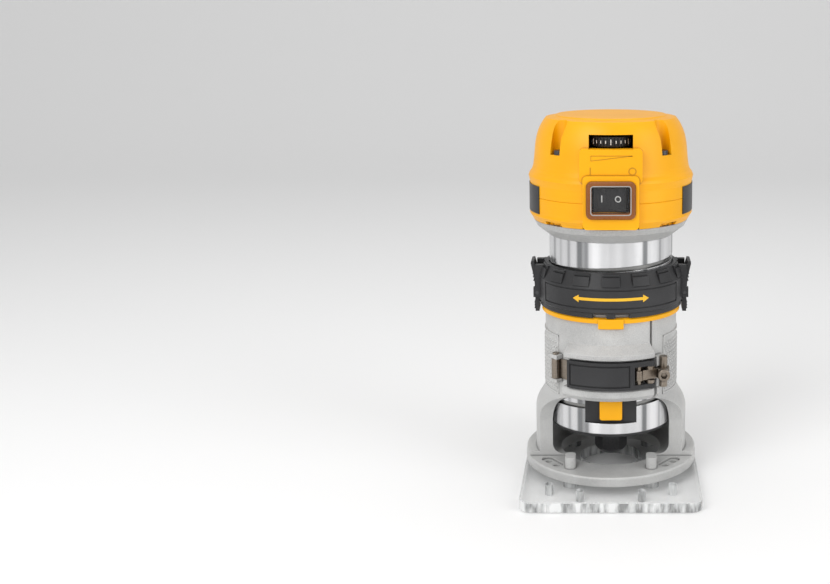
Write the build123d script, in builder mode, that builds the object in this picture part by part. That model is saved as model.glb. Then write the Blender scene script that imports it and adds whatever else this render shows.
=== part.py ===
from build123d import *
import os
from math import asin, cos, degrees, radians, sin

# Trim router: a tubular motor in a clamped fixed base, with the cutter pointing down.
#
# Frame: millimetres, +Z up. The origin is on the spindle axis, on the underside of the clear sub-base.
# The front, with the switch and the clamp lever, faces -Y. Angles called "from the front" grow towards +X.

os.makedirs("parts", exist_ok=True)

# ---------------------------------------------------------------- driving dimensions
MOTOR_R = 34.5  # the 69 mm motor barrel that router mounts are made for
SHANK_R = 3.2  # collet bore for a 1/4 inch shank
NUT_FLATS = 15.9  # 5/8 inch spanner
GROOVE_LEAD = 9.525  # depth per turn of the ring: 3/8 inch
SUB_T = 6.0  # clear sub-base thickness
BASE_R = 48.5  # base flange and sub-base
SUB_FRONT = 69.0  # sub-base flat front, from the axis

FLANGE_T = 5.0
FLANGE_TOP = SUB_T + FLANGE_T
LEG_R = 42.8
CHAMBER_R = 36.0
BORE_R = MOTOR_R + 0.15
BODY_R = 37.0
BODY_TOP = 94.0
NECK_R = 35.9
RIM_R = 37.4
RIM_TOP = BODY_TOP + 7.0
LEG_FRONT = 15.0  # the legs' front faces, in front of the axis

CASE_BOTTOM = 30.0
CASE_WALL = 2.9
CASE_IN = MOTOR_R - CASE_WALL
SKIRT_R = 43.0

CAP_PART = 160.0  # parting line between the cap and its lower band
CAP_WALL = 2.6

RING_BOTTOM = 97.4
RING_TOP = 121.4
RING_R = 40.8

CLAMP_LOW, CLAMP_HIGH = 58.0, 73.2  # height of the lever
CLAMP_MID = (CLAMP_LOW + CLAMP_HIGH) / 2

GROOVE_END = 129.64  # top of the spiral groove, at the left side of the motor
GROOVE_TURNS = 9.5
LOCK_HALF = 14.0
NOSE_SCREWS = (60, 150, 210, 300)
LEDS = (35, 105, 180, 255, 325)


# ---------------------------------------------------------------- helpers
def polar(radius, from_front):
    """XY of a point at a radius, at an angle from the front."""
    a = radians(from_front)
    return radius * sin(a), -radius * cos(a)


def radial_plane(from_front):
    """Plane through the axis: local x runs outwards at that angle, local y runs up."""
    a = radians(from_front - 90)
    return Plane(origin=(0, 0, 0), x_dir=(cos(a), sin(a), 0), z_dir=(sin(a), -cos(a), 0))


def turned(points, start=0.0, arc=360.0, mode=Mode.ADD):
    """Turns a polygon of (radius, z) about the axis, from one angle from the front through an arc."""
    with BuildSketch(radial_plane(start)) as profile:
        with BuildLine():
            Polyline(*points, close=True)
        make_face()
    revolve(profile.sketch, axis=Axis.Z, revolution_arc=arc, mode=mode)


def ring_sector(r_in, r_out, low, high, start, end, mode=Mode.ADD):
    """Part of a ring between two angles from the front."""
    turned([(r_in, low), (r_out, low), (r_out, high), (r_in, high)], start, end - start, mode)


def rod(x, y, radius, low, high, mode=Mode.ADD):
    """Upright cylinder."""
    with BuildSketch(Plane.XY.offset(low)) as profile:
        with Locations((x, y)):
            Circle(radius)
    extrude(profile.sketch, amount=high - low, mode=mode)


def block(x_low, x_high, y_low, y_high, low, high, mode=Mode.ADD):
    """Box given by its corners."""
    with BuildSketch(Plane.XY.offset(low)) as profile:
        with Locations(((x_low + x_high) / 2, (y_low + y_high) / 2)):
            Rectangle(abs(x_high - x_low), abs(y_high - y_low))
    extrude(profile.sketch, amount=high - low, mode=mode)


def bar_y(x, z, radius, y_low, y_high, mode=Mode.ADD):
    """Cylinder lying along Y."""
    with BuildSketch(Plane.XZ.offset(-y_low)) as profile:
        with Locations((x, z)):
            Circle(radius)
    extrude(profile.sketch, amount=-(y_high - y_low), mode=mode)


def bar_x(y, z, radius, x_low, x_high, mode=Mode.ADD):
    """Cylinder lying along X."""
    with BuildSketch(Plane.YZ.offset(x_low)) as profile:
        with Locations((y, z)):
            Circle(radius)
    extrude(profile.sketch, amount=x_high - x_low, mode=mode)


def coil(start, direction, radius, wire, pitch, height):
    """Open coil spring that starts at a point and runs along a direction."""
    with BuildLine() as path:
        Helix(pitch=pitch, height=height, radius=radius, center=start, direction=direction)
    with BuildSketch(Plane(path.line @ 0, z_dir=path.line % 0)) as section:
        Circle(wire)
    sweep(section.sketch, path=path.line, is_frenet=True)


def save(part, name):
    """Labels a finished piece and writes its STEP file."""
    part.label = name
    export_step(part, f"parts/{name}.step")


# ================================================================ FIXED BASE
POST_X, POST_Y = 22.3, 31.5
POSTS = [(sx * POST_X, sy * POST_Y) for sx in (-1, 1) for sy in (-1, 1)]
POST_TOP = 17.6
SLIT_AT = 36.2  # the split in the clamped barrel, from the front
PIVOT = polar(41.4, 31.0)  # lever pivot
HOOK = polar(41.3, 21.5)  # link pin, carried by the lever
BARREL = polar(42.0, 43.0)  # cross barrel at the link's far end
BARREL_R = 2.2
ANCHOR = polar(39.6, -50.0)  # pin at the strap's fixed end
GUIDE_HOLES = (48.0, 59.0)
FOOT_R, FOOT_Z = 6.0, 12.0  # sweep from the chamber wall to its floor
FOOT_MIDDLE = (CHAMBER_R - FOOT_R * (1 - cos(radians(45))), FOOT_Z + FOOT_R * (1 - sin(radians(45))))
GUIDE_R = 40.5

with BuildPart() as base_casting:
    with BuildSketch(Plane.XZ):
        with BuildLine():
            Polyline((28.5, SUB_T), (BASE_R, SUB_T), (BASE_R, FLANGE_TOP - 0.7), (BASE_R - 0.7, FLANGE_TOP))
            Line((BASE_R - 0.7, FLANGE_TOP), (LEG_R + 3.2, FLANGE_TOP))
            RadiusArc((LEG_R + 3.2, FLANGE_TOP), (LEG_R, FLANGE_TOP + 3.2), 3.2)
            Line((LEG_R, FLANGE_TOP + 3.2), (LEG_R, 36.5))
            Spline(
                (LEG_R, 36.5),
                (LEG_R - 1.6, 42.8),
                (BODY_R, 50.5),
                tangents=[(0, 1), (-0.35, 1)],
            )
            Polyline((BODY_R, 50.5), (BODY_R, BODY_TOP), (NECK_R, BODY_TOP), (NECK_R, RIM_TOP - 2.0))
            Polyline((NECK_R, RIM_TOP - 2.0), (RIM_R, RIM_TOP - 2.0), (RIM_R, RIM_TOP - 0.6))
            Polyline((RIM_R, RIM_TOP - 0.6), (RIM_R - 0.6, RIM_TOP), (BORE_R, RIM_TOP), (BORE_R, 53.0))
            Polyline((BORE_R, 53.0), (CHAMBER_R, 50.0), (CHAMBER_R, FOOT_Z + FOOT_R))
            ThreePointArc((CHAMBER_R, FOOT_Z + FOOT_R), FOOT_MIDDLE, (CHAMBER_R - FOOT_R, FOOT_Z))
            Polyline((CHAMBER_R - FOOT_R, FOOT_Z), (28.5, FOOT_Z), (28.5, SUB_T))
        make_face()
    revolve(axis=Axis.Z)
    turned([(41, 9), (48.2, 9), (48.2, 13.0), (47.6, 13.6), (41, 13.6)], 66, 228)
    # open front: vertical behind the leg faces, sweeping forwards to the rim under the lever
    with BuildSketch(Plane.YZ.offset(-60)):
        with BuildLine():
            Polyline((-LEG_FRONT, FLANGE_TOP), (-60, FLANGE_TOP), (-60, 51.0), (-33.0, 51.0))
            ThreePointArc((-33.0, 51.0), (-21.5, 45.2), (-LEG_FRONT, 32.0))
            Line((-LEG_FRONT, 32.0), (-LEG_FRONT, FLANGE_TOP))
        make_face()
    extrude(amount=120, mode=Mode.SUBTRACT)
    # sloped ledge that shelters the clamp, and the lower rib
    turned([(36, 81.5), (BODY_R, 81.5), (41.6, 76.8), (41.6, 74.3), (40.9, 73.7), (36, 73.7)], -38, 73.5)
    turned([(36, 57.4), (40.6, 57.4), (41.4, 56.6), (41.4, 53.4), (39.6, 51.0), (36.2, 51.0)], -40, 80)
    # lugs that hold the strap's pin, and the notched ears that take the cross barrel
    for low, high in ((58.2, 60.0), (71.4, 73.7)):
        ring_sector(36, 41.6, low, high, -54.5, -45.5)
        rod(*ANCHOR, 1.25, low - 0.1, high + 0.1, Mode.SUBTRACT)
    for low, high in ((57.4, 62.3), (68.9, 74.0)):
        ring_sector(36, 41.0, low, high, 37.4, 48.0)
        rod(*BARREL, BARREL_R + 0.06, low - 0.1, high + 0.1, Mode.SUBTRACT)
    # the screw posts for the sub-base
    with BuildSketch(Plane.XY.offset(FLANGE_TOP - 1)):
        with Locations(*POSTS):
            SlotOverall(9.4, 5.8, rotation=90)
    extrude(amount=POST_TOP - FLANGE_TOP + 1)
    # clean bore, split and screw holes
    rod(0, 0, BORE_R, 52.9, RIM_TOP + 1, Mode.SUBTRACT)
    ring_sector(30, 50, 50.5, RIM_TOP + 1, SLIT_AT - 1.3, SLIT_AT + 1.3, Mode.SUBTRACT)
    with BuildSketch(Plane.XY.offset(SUB_T)):
        with Locations(*POSTS):
            Circle(1.8)
    extrude(amount=POST_TOP - SUB_T - 2, mode=Mode.SUBTRACT)
    # slotted recesses with a pair of accessory holes each
    middle = sum(GUIDE_HOLES) / 2
    for side in (-1, 1):
        with BuildSketch(Plane.XY.offset(FLANGE_TOP - 1.2)):
            with Locations(polar(GUIDE_R, side * middle)):
                SlotOverall(16.5, 7.0, rotation=side * middle)
        extrude(amount=1.3, mode=Mode.SUBTRACT)
        with BuildSketch(Plane.XY.offset(SUB_T - 1)):
            with Locations(*[polar(GUIDE_R, side * a) for a in GUIDE_HOLES]):
                Circle(2.0)
        extrude(amount=FLANGE_T + 2, mode=Mode.SUBTRACT)
    # seat of the guide key at the back of the bore
    block(-2.02, 2.02, 33.0, 36.02, 60.0, 80.0, Mode.SUBTRACT)
save(base_casting.part, "base_casting")

with BuildPart() as guide_key:
    block(-2.0, 2.0, 33.2, 36.0, 60.02, 79.98)
save(guide_key.part, "guide_key")

with BuildPart() as sub_base:
    with BuildSketch() as outline:
        Circle(BASE_R)
        Rectangle(2 * BASE_R, SUB_FRONT, align=(Align.CENTER, Align.MAX))
        fillet(outline.vertices().group_by(Axis.Y)[0], 7)
    extrude(amount=SUB_T - 0.02)
    chamfer(sub_base.faces().sort_by(Axis.Z)[0].outer_wire().edges(), 0.5)
    chamfer(sub_base.faces().sort_by(Axis.Z)[-1].outer_wire().edges(), 0.5)
    rod(0, 0, 17.5, -1, SUB_T + 1, Mode.SUBTRACT)
    for x, y in POSTS:
        rod(x, y, 2.1, -1, SUB_T + 1, Mode.SUBTRACT)
        rod(x, y, 4.3, -1, 3.2, Mode.SUBTRACT)
    for a in (-37.6, -17.6, 17.6, 37.6):
        rod(*polar(55.0, a), 2.2, -1, SUB_T + 1, Mode.SUBTRACT)
save(sub_base.part, "sub_base")

with BuildPart() as base_screws:
    for x, y in POSTS:
        rod(x, y, 4.0, 0.8, 3.1)
        rod(x, y, 1.75, 3.1, POST_TOP - 3)
        with BuildSketch(Plane.XY.offset(0.8)):
            with Locations((x, y)):
                Rectangle(4.6, 1.0)
                Rectangle(1.0, 4.6)
        extrude(amount=1.2, mode=Mode.SUBTRACT)
save(base_screws.part, "base_screws")

# ---------------------------------------------------------------- over-centre clamp
EARS = ((CLAMP_LOW, 60.5), (70.5, CLAMP_HIGH))  # the lever either side of its slot
EYES = ((60.7, 62.5), (68.5, 70.3))
LINK_LOW, LINK_HIGH = 62.8, 68.2
LEVER_IN, LEVER_OUT = 40.0, 43.0
PIN_R = 1.2

with BuildPart() as clamp_strap:
    ring_sector(37.3, 38.3, 60.2, 71.2, -49, 27)
    for low, high in EYES:
        ring_sector(37.3, 38.3, low, high, 20, 33)
        ring_sector(37.3, 41.4, low, high, 28.6, 33.0)
        rod(*PIVOT, 2.4, low, high)
    rod(*ANCHOR, 2.3, 60.2, 71.2)
    rod(*ANCHOR, PIN_R + 0.05, 60, 72, Mode.SUBTRACT)
    rod(*PIVOT, PIN_R + 0.05, 60, 72, Mode.SUBTRACT)
save(clamp_strap.part, "clamp_strap")

with BuildPart() as strap_pin:
    rod(*ANCHOR, PIN_R, 57.8, 73.9)
    rod(*ANCHOR, 1.8, 73.75, 74.5)
save(strap_pin.part, "strap_pin")

with BuildPart() as clamp_lever:
    ring_sector(LEVER_IN, LEVER_OUT, CLAMP_LOW, CLAMP_HIGH, -34.5, 31.0)
    chamfer(clamp_lever.faces().sort_by(Axis.X)[0].edges().filter_by(GeomType.CIRCLE, reverse=True), 0.8)
    ring_sector(LEVER_OUT - 0.5, LEVER_OUT + 1, CLAMP_LOW + 1.5, CLAMP_HIGH - 1.5, -31.5, 14.0, Mode.SUBTRACT)
    ring_sector(LEVER_OUT - 0.6, LEVER_OUT, CLAMP_LOW + 2.4, CLAMP_HIGH - 2.4, -30.3, 12.8)
    rod(*PIVOT, 2.6, CLAMP_LOW, CLAMP_HIGH)
    ring_sector(38, 46, EARS[0][1], EARS[1][0], 17.5, 40, Mode.SUBTRACT)
    rod(*PIVOT, 3.2, EARS[0][1], EARS[1][0], Mode.SUBTRACT)
    rod(*PIVOT, PIN_R + 0.03, 50, 80, Mode.SUBTRACT)
    rod(*HOOK, PIN_R + 0.03, 50, 80, Mode.SUBTRACT)
    # lip under the free end for a fingertip
    ring_sector(LEVER_IN, LEVER_OUT - 1.4, CLAMP_LOW + 2, CLAMP_HIGH - 2, -34.6, -31, Mode.SUBTRACT)
save(clamp_lever.part, "clamp_lever")

with BuildPart() as lever_pins:
    rod(*PIVOT, PIN_R, 58.3, EYES[0][1] - 0.1)
    rod(*PIVOT, PIN_R, EYES[1][0] + 0.1, 72.9)
save(lever_pins.part, "lever_pins")

with BuildPart() as link_pin:
    rod(*HOOK, PIN_R, 58.3, 72.9)
save(link_pin.part, "link_pin")

SCREW_X, SCREW_Z = BARREL[0], CLAMP_MID
with BuildPart() as clamp_link:
    with BuildSketch(Plane.XY.offset(LINK_LOW)):
        with Locations(HOOK):
            Circle(2.2)
        with Locations(BARREL):
            Circle(3.3)
        run = Vector(BARREL[0] - HOOK[0], BARREL[1] - HOOK[1])
        with Locations(((HOOK[0] + BARREL[0]) / 2, (HOOK[1] + BARREL[1]) / 2)):
            Rectangle(run.length, 2.8, rotation=degrees(asin(run.Y / run.length)))
    extrude(amount=LINK_HIGH - LINK_LOW)
    block(SCREW_X - 2.9, SCREW_X + 2.9, -36.2, -33.0, LINK_LOW, LINK_HIGH)
    rod(*HOOK, PIN_R + 0.05, 60, 70, Mode.SUBTRACT)
    rod(*BARREL, BARREL_R + 0.03, 60, 70, Mode.SUBTRACT)
    bar_y(SCREW_X, SCREW_Z, 1.55, -40, -30, Mode.SUBTRACT)
save(clamp_link.part, "clamp_link")

with BuildPart() as link_barrel:
    rod(*BARREL, BARREL_R, 57.2, 74.2)
    bar_y(SCREW_X, SCREW_Z, 1.55, -34, -29.8, Mode.SUBTRACT)
save(link_barrel.part, "link_barrel")

with BuildPart() as tension_screw:
    bar_y(SCREW_X, SCREW_Z, 3.3, -39.8, -36.25)
    chamfer(tension_screw.faces().sort_by(Axis.Y)[0].edges(), 0.5)
    bar_y(SCREW_X, SCREW_Z, 1.5, -36.3, -30.8)
    with BuildSketch(Plane.XZ.offset(39.8)):
        with Locations((SCREW_X, SCREW_Z)):
            RegularPolygon(1.9, 6)
    extrude(amount=-2.2, mode=Mode.SUBTRACT)
save(tension_screw.part, "tension_screw")

# ================================================================ DEPTH SETTING
def thread_height(from_front):
    """Height of the spiral groove at an angle from the front, on the turn inside the ring."""
    front_height = GROOVE_END - 0.75 * GROOVE_LEAD - GROOVE_LEAD
    return front_height + GROOVE_LEAD * from_front / 360


THREAD_PLANES = [
    Plane(origin=(0, 0, thread_height(a)), z_dir=(sin(radians(a)), -cos(radians(a)), 0)) for a in (-120, 0, 120)
]
TAB_HALF = 6.8
TAB_PIVOT = (41.2, 104.5)
POCKET_R = 37.6

with BuildPart() as zero_ring:
    turned([(35.96, 94.1), (38.8, 94.1), (38.8, 96.3), (38.1, 97.0), (35.96, 97.0)])
    turned([(38.7, 91.0), (39.6, 91.6), (39.6, 96.6), (38.0, 97.0), (38.0, 94.1)], -10, 20)
    turned([(37.2, 94.2), (37.2, 91.4), (38.2, 91.0), (38.8, 91.0), (38.8, 94.2)], -10, 20)
save(zero_ring.part, "zero_ring")

with BuildPart() as depth_ring:
    with BuildSketch(Plane.XZ):
        with BuildLine():
            Polyline((RIM_R + 0.6, RING_BOTTOM), (39.8, RING_BOTTOM), (39.8, 99.8), (RING_R, 100.6))
            Polyline((RING_R, 100.6), (RING_R, 113.6), (40.2, 114.6), (38.2, 118.6), (36.8, RING_TOP))
            Polyline((36.8, RING_TOP), (MOTOR_R + 0.4, RING_TOP), (MOTOR_R + 0.4, RIM_TOP + 0.4))
            Polyline((MOTOR_R + 0.4, RIM_TOP + 0.4), (RIM_R + 0.6, RIM_TOP + 0.4), (RIM_R + 0.6, RING_BOTTOM))
        make_face()
    revolve(axis=Axis.Z)
    # graduation pads round the sloping shoulder, taller ones beside each tab
    for step in range(15):
        ring_sector(36, 38.4, 117.0, RING_TOP - 0.4, step * 24 - 6.8, step * 24 + 6.8)
        turned([(37, 114.6), (40.7, 114.6), (39.4, 119.4), (37, 119.4)], step * 24 - 6.8, 13.6)
    for side in (-1, 1):
        block(side * 36, side * 43.2, -10.4, 10.4, 102.0, 107.5)
        block(side * 36, side * 42.0, -10.4, 10.4, 107.4, 120.4)
    # raised outline on the front of the band
    ring_sector(RING_R - 0.4, RING_R + 1, 102.4, 113.0, -62, 62, Mode.SUBTRACT)
    ring_sector(36, RING_R - 0.05, 103.2, 112.2, -60.8, 60.8)
    # clean bore, then the pocket and window behind each tab
    rod(0, 0, MOTOR_R + 0.4, RIM_TOP, RING_TOP + 1, Mode.SUBTRACT)
    for side in (-1, 1):
        block(side * POCKET_R, side * 50, -TAB_HALF - 0.2, TAB_HALF + 0.2, RING_BOTTOM - 1, 125, Mode.SUBTRACT)
        block(side * 34.9, side * 50, -5.2, 5.2, RING_BOTTOM - 1, 100.4, Mode.SUBTRACT)
        with BuildSketch(Plane.XZ.offset(-12)):
            with Locations((side * TAB_PIVOT[0], TAB_PIVOT[1])):
                Circle(1.05)
        extrude(amount=24, mode=Mode.SUBTRACT)
        bar_x(0, 115, 1.9, min(side * 36.9, side * 39), max(side * 36.9, side * 39), Mode.SUBTRACT)
    # sight windows over the zero ring
    for a in (-9, 9):
        ring_sector(37, 42, RING_BOTTOM - 1, 99.3, a - 5.5, a + 5.5, Mode.SUBTRACT)
    for plane in THREAD_PLANES:
        with BuildSketch(plane.offset(34.0)):
            Circle(0.97)
        extrude(amount=3.0, mode=Mode.SUBTRACT)
save(depth_ring.part, "depth_ring")

with BuildPart() as ring_thread_pins:
    for plane in THREAD_PLANES:
        with BuildSketch(plane.offset(33.5)):
            Circle(0.95)
        extrude(amount=3.45)
save(ring_thread_pins.part, "ring_thread_pins")

for name, side in (("left_release_tab", -1), ("right_release_tab", 1)):
    with BuildPart() as tab:
        with BuildSketch(Plane.XZ.offset(-TAB_HALF)):
            with BuildLine():
                Polyline(
                    (side * 42.3, 93.2),
                    (side * 42.4, 104.5),
                    (side * 42.9, 112.0),
                    (side * 44.8, 120.4),
                    (side * 44.6, 121.6),
                    (side * 43.0, 121.8),
                    (side * 41.2, 115.0),
                    (side * 39.9, 107.0),
                    (side * 39.9, 99.4),
                    (side * 40.1, 93.2),
                    close=True,
                )
            make_face()
        extrude(amount=2 * TAB_HALF)
        for z in (94.8, 96.4, 98.0, 110.5, 112.5, 114.5):
            bar_y(side * (42.6 + max(0, z - 105) * 0.1), z, 0.35, -TAB_HALF + 1, TAB_HALF - 1)
        block(side * 36.4, side * 40.6, -4.6, 4.6, 98.1, 98.85)
        with BuildSketch(Plane.XZ.offset(-12)):
            with Locations((side * TAB_PIVOT[0], TAB_PIVOT[1])):
                Circle(1.05)
        extrude(amount=24, mode=Mode.SUBTRACT)
    save(tab.part, name)

with BuildPart() as tab_pins:
    for side in (-1, 1):
        bar_y(side * TAB_PIVOT[0], TAB_PIVOT[1], 1.0, -10.2, 10.2)
save(tab_pins.part, "tab_pins")

with BuildPart() as tab_springs:
    for side in (-1, 1):
        coil((side * 37.15, 0, 115), (side, 0, 0), 1.4, 0.2, 1.0, 3.4)
save(tab_springs.part, "tab_springs")

# ================================================================ MOTOR BODY
with BuildPart() as motor_case:
    with BuildSketch(Plane.XZ):
        with BuildLine():
            Polyline((CASE_IN, CASE_BOTTOM), (MOTOR_R - 0.8, CASE_BOTTOM), (MOTOR_R, CASE_BOTTOM + 0.8))
            Polyline((MOTOR_R, CASE_BOTTOM + 0.8), (MOTOR_R, 137.2), (41.2, 142.4), (SKIRT_R, 145.9))
            Polyline((SKIRT_R, 145.9), (38.0, 145.9), (CASE_IN, 140.0), (CASE_IN, CASE_BOTTOM))
        make_face()
    revolve(axis=Axis.Z)
    with BuildLine() as groove:
        Helix(
            pitch=GROOVE_LEAD,
            height=GROOVE_LEAD * GROOVE_TURNS,
            radius=MOTOR_R,
            center=(0, 0, GROOVE_END - GROOVE_LEAD * GROOVE_TURNS),
        )
    with BuildSketch(Plane(groove.line @ 0, x_dir=(1, 0, 0), z_dir=groove.line % 0)):
        Rectangle(2.6, 2.5)
    sweep(path=groove.line, is_frenet=True, mode=Mode.SUBTRACT)
    # keyway at the back for the guide key, slots for the lock housing at the front
    block(-2.1, 2.1, 33.1, 36.0, CASE_BOTTOM - 1, 128.0, Mode.SUBTRACT)
    block(-LOCK_HALF - 0.05, LOCK_HALF + 0.05, -40, -28.0, 36.6, 50.6, Mode.SUBTRACT)
save(motor_case.part, "motor_case")

with BuildPart() as nose_plate:
    turned(
        [
            (14.05, 27.6),
            (21.5, 27.0),
            (22.5, 28.0),
            (24.5, 28.6),
            (33.0, 28.6),
            (33.6, 29.2),
            (33.6, 29.96),
            (CASE_IN - 0.04, 29.96),
            (CASE_IN - 0.04, 36.0),
            (24.0, 36.0),
            (24.0, 33.0),
            (18.0, 33.0),
            (18.0, 36.5),
            (14.05, 36.5),
        ]
    )
    turned([(8.2, 27.6), (14.2, 27.6), (14.2, 28.4), (8.2, 28.4)])
    block(-LOCK_HALF - 0.1, LOCK_HALF + 0.1, -40, -27.0, 31.0, 40.0, Mode.SUBTRACT)
    for a in NOSE_SCREWS:
        rod(*polar(27.5, a), 1.55, 25, 40, Mode.SUBTRACT)
        rod(*polar(27.5, a), 2.8, 25, 30.5, Mode.SUBTRACT)
    for a in LEDS:
        rod(*polar(27.5, a), 2.05, 25, 40, Mode.SUBTRACT)
save(nose_plate.part, "nose_plate")

with BuildPart() as nose_screws:
    for a in NOSE_SCREWS:
        x, y = polar(27.5, a)
        rod(x, y, 1.5, 30.4, 35.8)
        rod(x, y, 2.7, 28.7, 30.45)
        rod(x, y, 1.0, 28.5, 29.8, Mode.SUBTRACT)
save(nose_screws.part, "nose_screws")

with BuildPart() as led_lenses:
    for a in LEDS:
        rod(*polar(27.5, a), 2.0, 29.0, 34.0)
        with Locations((*polar(27.5, a), 29.0)):
            Sphere(1.9)
save(led_lenses.part, "led_lenses")

with BuildPart() as lock_housing:
    block(-LOCK_HALF, LOCK_HALF, -31.5, -28.2, 36.7, 50.5)
    fillet(lock_housing.edges().filter_by(Axis.Y), 2.0)
    block(-8.2, 8.2, -28.3, -21.0, 37.2, 49.9)
    block(-6.3, 6.3, -32.0, -25.6, 38.1, 49.5, Mode.SUBTRACT)
    bar_y(0, 43.9, 1.6, -26.0, -20.0, Mode.SUBTRACT)
save(lock_housing.part, "lock_housing")

with BuildPart() as lock_button:
    block(-6.2, 6.2, -33.7, -29.0, 38.2, 49.4)
    fillet(lock_button.edges().filter_by(Axis.Y), 1.4)
    fillet(lock_button.faces().sort_by(Axis.Y)[0].edges(), 0.6)
    bar_y(0, 43.9, 1.3, -29.5, -26.0, Mode.SUBTRACT)
save(lock_button.part, "lock_button")

with BuildPart() as lock_pin:
    bar_y(0, 43.9, 1.25, -29.4, -9.2)
save(lock_pin.part, "lock_pin")

with BuildPart() as lock_spring:
    coil((0, -28.65, 43.9), (0, 1, 0), 2.3, 0.3, 0.95, 2.75)
save(lock_spring.part, "lock_spring")

# ---------------------------------------------------------------- rotor and its bearings
with BuildPart() as spindle:
    turned(
        [
            (0, 16.5),
            (5.4, 16.5),
            (5.95, 17.1),
            (5.95, 36.6),
            (8.0, 36.9),
            (8.0, 38.2),
            (6.0, 38.2),
            (6.0, 60.0),
            (5.0, 60.0),
            (5.0, 123.5),
            (3.97, 124.0),
            (3.97, 134.5),
            (0, 134.5),
        ]
    )
    with BuildSketch(Plane.XY.offset(16.4)):
        Circle(5.0)
    extrude(amount=12.6, taper=4, mode=Mode.SUBTRACT)
save(spindle.part, "spindle")

with BuildPart() as lock_collar:
    turned([(6.03, 38.5), (8.6, 38.5), (8.6, 49.0), (6.03, 49.0)])
    bar_y(0, 43.9, 1.6, -12, 12, Mode.SUBTRACT)
    bar_x(0, 43.9, 1.6, -12, 12, Mode.SUBTRACT)
save(lock_collar.part, "lock_collar")


def ball_bearing(inner_r, outer_r, low, width, ball_r, name):
    """Writes the two races of a ball bearing, the balls and cage riding with the inner one."""
    middle_r = (inner_r + outer_r) / 2
    middle_z = low + width / 2
    with BuildPart() as outer:
        turned([(middle_r + 1.2, low), (outer_r, low), (outer_r, low + width), (middle_r + 1.2, low + width)])
        with Locations((0, 0, middle_z)):
            Torus(middle_r, ball_r + 0.06, mode=Mode.SUBTRACT)
    save(outer.part, f"{name}_outer_race")
    with BuildPart() as inner:
        turned([(inner_r, low), (middle_r - 1.2, low), (middle_r - 1.2, low + width), (inner_r, low + width)])
        with Locations((0, 0, middle_z)):
            Torus(middle_r, ball_r + 0.02, mode=Mode.SUBTRACT)
    save(inner.part, f"{name}_inner_race")
    with BuildPart() as balls:
        with Locations((0, 0, middle_z)):
            with PolarLocations(middle_r, 8):
                Sphere(ball_r)
    save(balls.part, f"{name}_balls")


ball_bearing(5.99, 14.0, 28.5, 8.0, 2.4, "lower_bearing")
ball_bearing(4.0, 11.0, 126.0, 7.0, 1.9, "upper_bearing")

with BuildPart() as armature_core:
    with BuildSketch(Plane.XY.offset(62)):
        Circle(17.5)
        Circle(5.03, mode=Mode.SUBTRACT)
        with PolarLocations(14.6, 12):
            SlotOverall(6.2, 2.8, mode=Mode.SUBTRACT)
        with PolarLocations(17.6, 12):
            Rectangle(1.6, 1.2, mode=Mode.SUBTRACT)
    extrude(amount=40)
save(armature_core.part, "armature_core")

with BuildPart() as armature_windings:
    with BuildSketch(Plane.XY.offset(58.5)):
        with PolarLocations(14.6, 12):
            SlotOverall(5.8, 2.4)
    extrude(amount=47)
    turned([(6.5, 58.6), (14.5, 58.6), (16.6, 60.0), (16.6, 61.9), (6.5, 61.9)])
    turned([(6.5, 102.1), (16.6, 102.1), (16.6, 104.0), (14.0, 107.0), (8.0, 107.4), (6.5, 106.0)])
save(armature_windings.part, "armature_windings")

with BuildPart() as commutator:
    turned([(5.03, 108.0), (12.6, 108.0), (12.6, 109.6), (11.4, 109.6), (11.4, 121.5), (5.03, 121.5)])
    with BuildSketch(Plane.XY.offset(109.6)):
        with PolarLocations(11.4, 24):
            Rectangle(1.4, 0.4)
    extrude(amount=12, mode=Mode.SUBTRACT)
save(commutator.part, "commutator")

with BuildPart() as fan:
    turned([(6.04, 50.2), (9.0, 50.2), (9.0, 58.2), (6.04, 58.2)])
    turned([(8.8, 50.2), (27.0, 50.2), (27.0, 51.6), (8.8, 51.6)])
    with BuildSketch(Plane.XY.offset(51.5)):
        with PolarLocations(18.6, 13):
            Rectangle(15.6, 1.2, rotation=24)
    extrude(amount=6.0)
save(fan.part, "fan")

# ---------------------------------------------------------------- field, brushes and upper bearing
with BuildPart() as stator_core:
    with BuildSketch(Plane.XY.offset(62)):
        Circle(CASE_IN - 0.1)
        Circle(27.0, mode=Mode.SUBTRACT)
        with Locations(*[polar(22.6, a) for a in (90, 270)]):
            Rectangle(10.5, 22)
        Circle(18.2, mode=Mode.SUBTRACT)
        for a in (45, 135, 225, 315):
            with Locations(polar(29.4, a)):
                Circle(1.6, mode=Mode.SUBTRACT)
    extrude(amount=40)
save(stator_core.part, "stator_core")

with BuildPart() as stator_windings:
    for side in (-1, 1):
        for end in (-1, 1):
            block(side * 18.8, side * 26.4, end * 11.3, end * 16.0, 59.5, 104.5)
        for low, high in ((59.5, 61.8), (102.2, 104.5)):
            block(side * 19.5, side * 26.4, -16, 16, low, high)
    rod(0, 0, 26.9, 50, 110, Mode.INTERSECT)
    rod(0, 0, 18.3, 50, 110, Mode.SUBTRACT)
save(stator_windings.part, "stator_windings")

with BuildPart() as upper_bracket:
    turned([(11.04, 125.0), (14.0, 125.0), (14.0, 134.0), (8.6, 134.0), (8.6, 133.2), (11.04, 133.2)])
    for a in (45, 135, 225, 315):
        with BuildSketch(Plane.XY.offset(125.0)):
            with Locations(polar(21.8, a)):
                Rectangle(18.4, 7.0, rotation=a - 90)
        extrude(amount=3.0)
    turned([(28.5, 122.0), (CASE_IN - 0.08, 122.0), (CASE_IN - 0.08, 136.0), (28.5, 136.0)])
    for side in (-1, 1):
        block(-6.4, 6.4, side * 15, side * 30.4, 122.0, 126.0)
    rod(0, 0, 11.04, 120, 133.2, Mode.SUBTRACT)
    for a in (45, 135, 225, 315):
        rod(*polar(25.0, a), 1.3, 120, 130, Mode.SUBTRACT)
save(upper_bracket.part, "upper_bracket")

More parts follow.
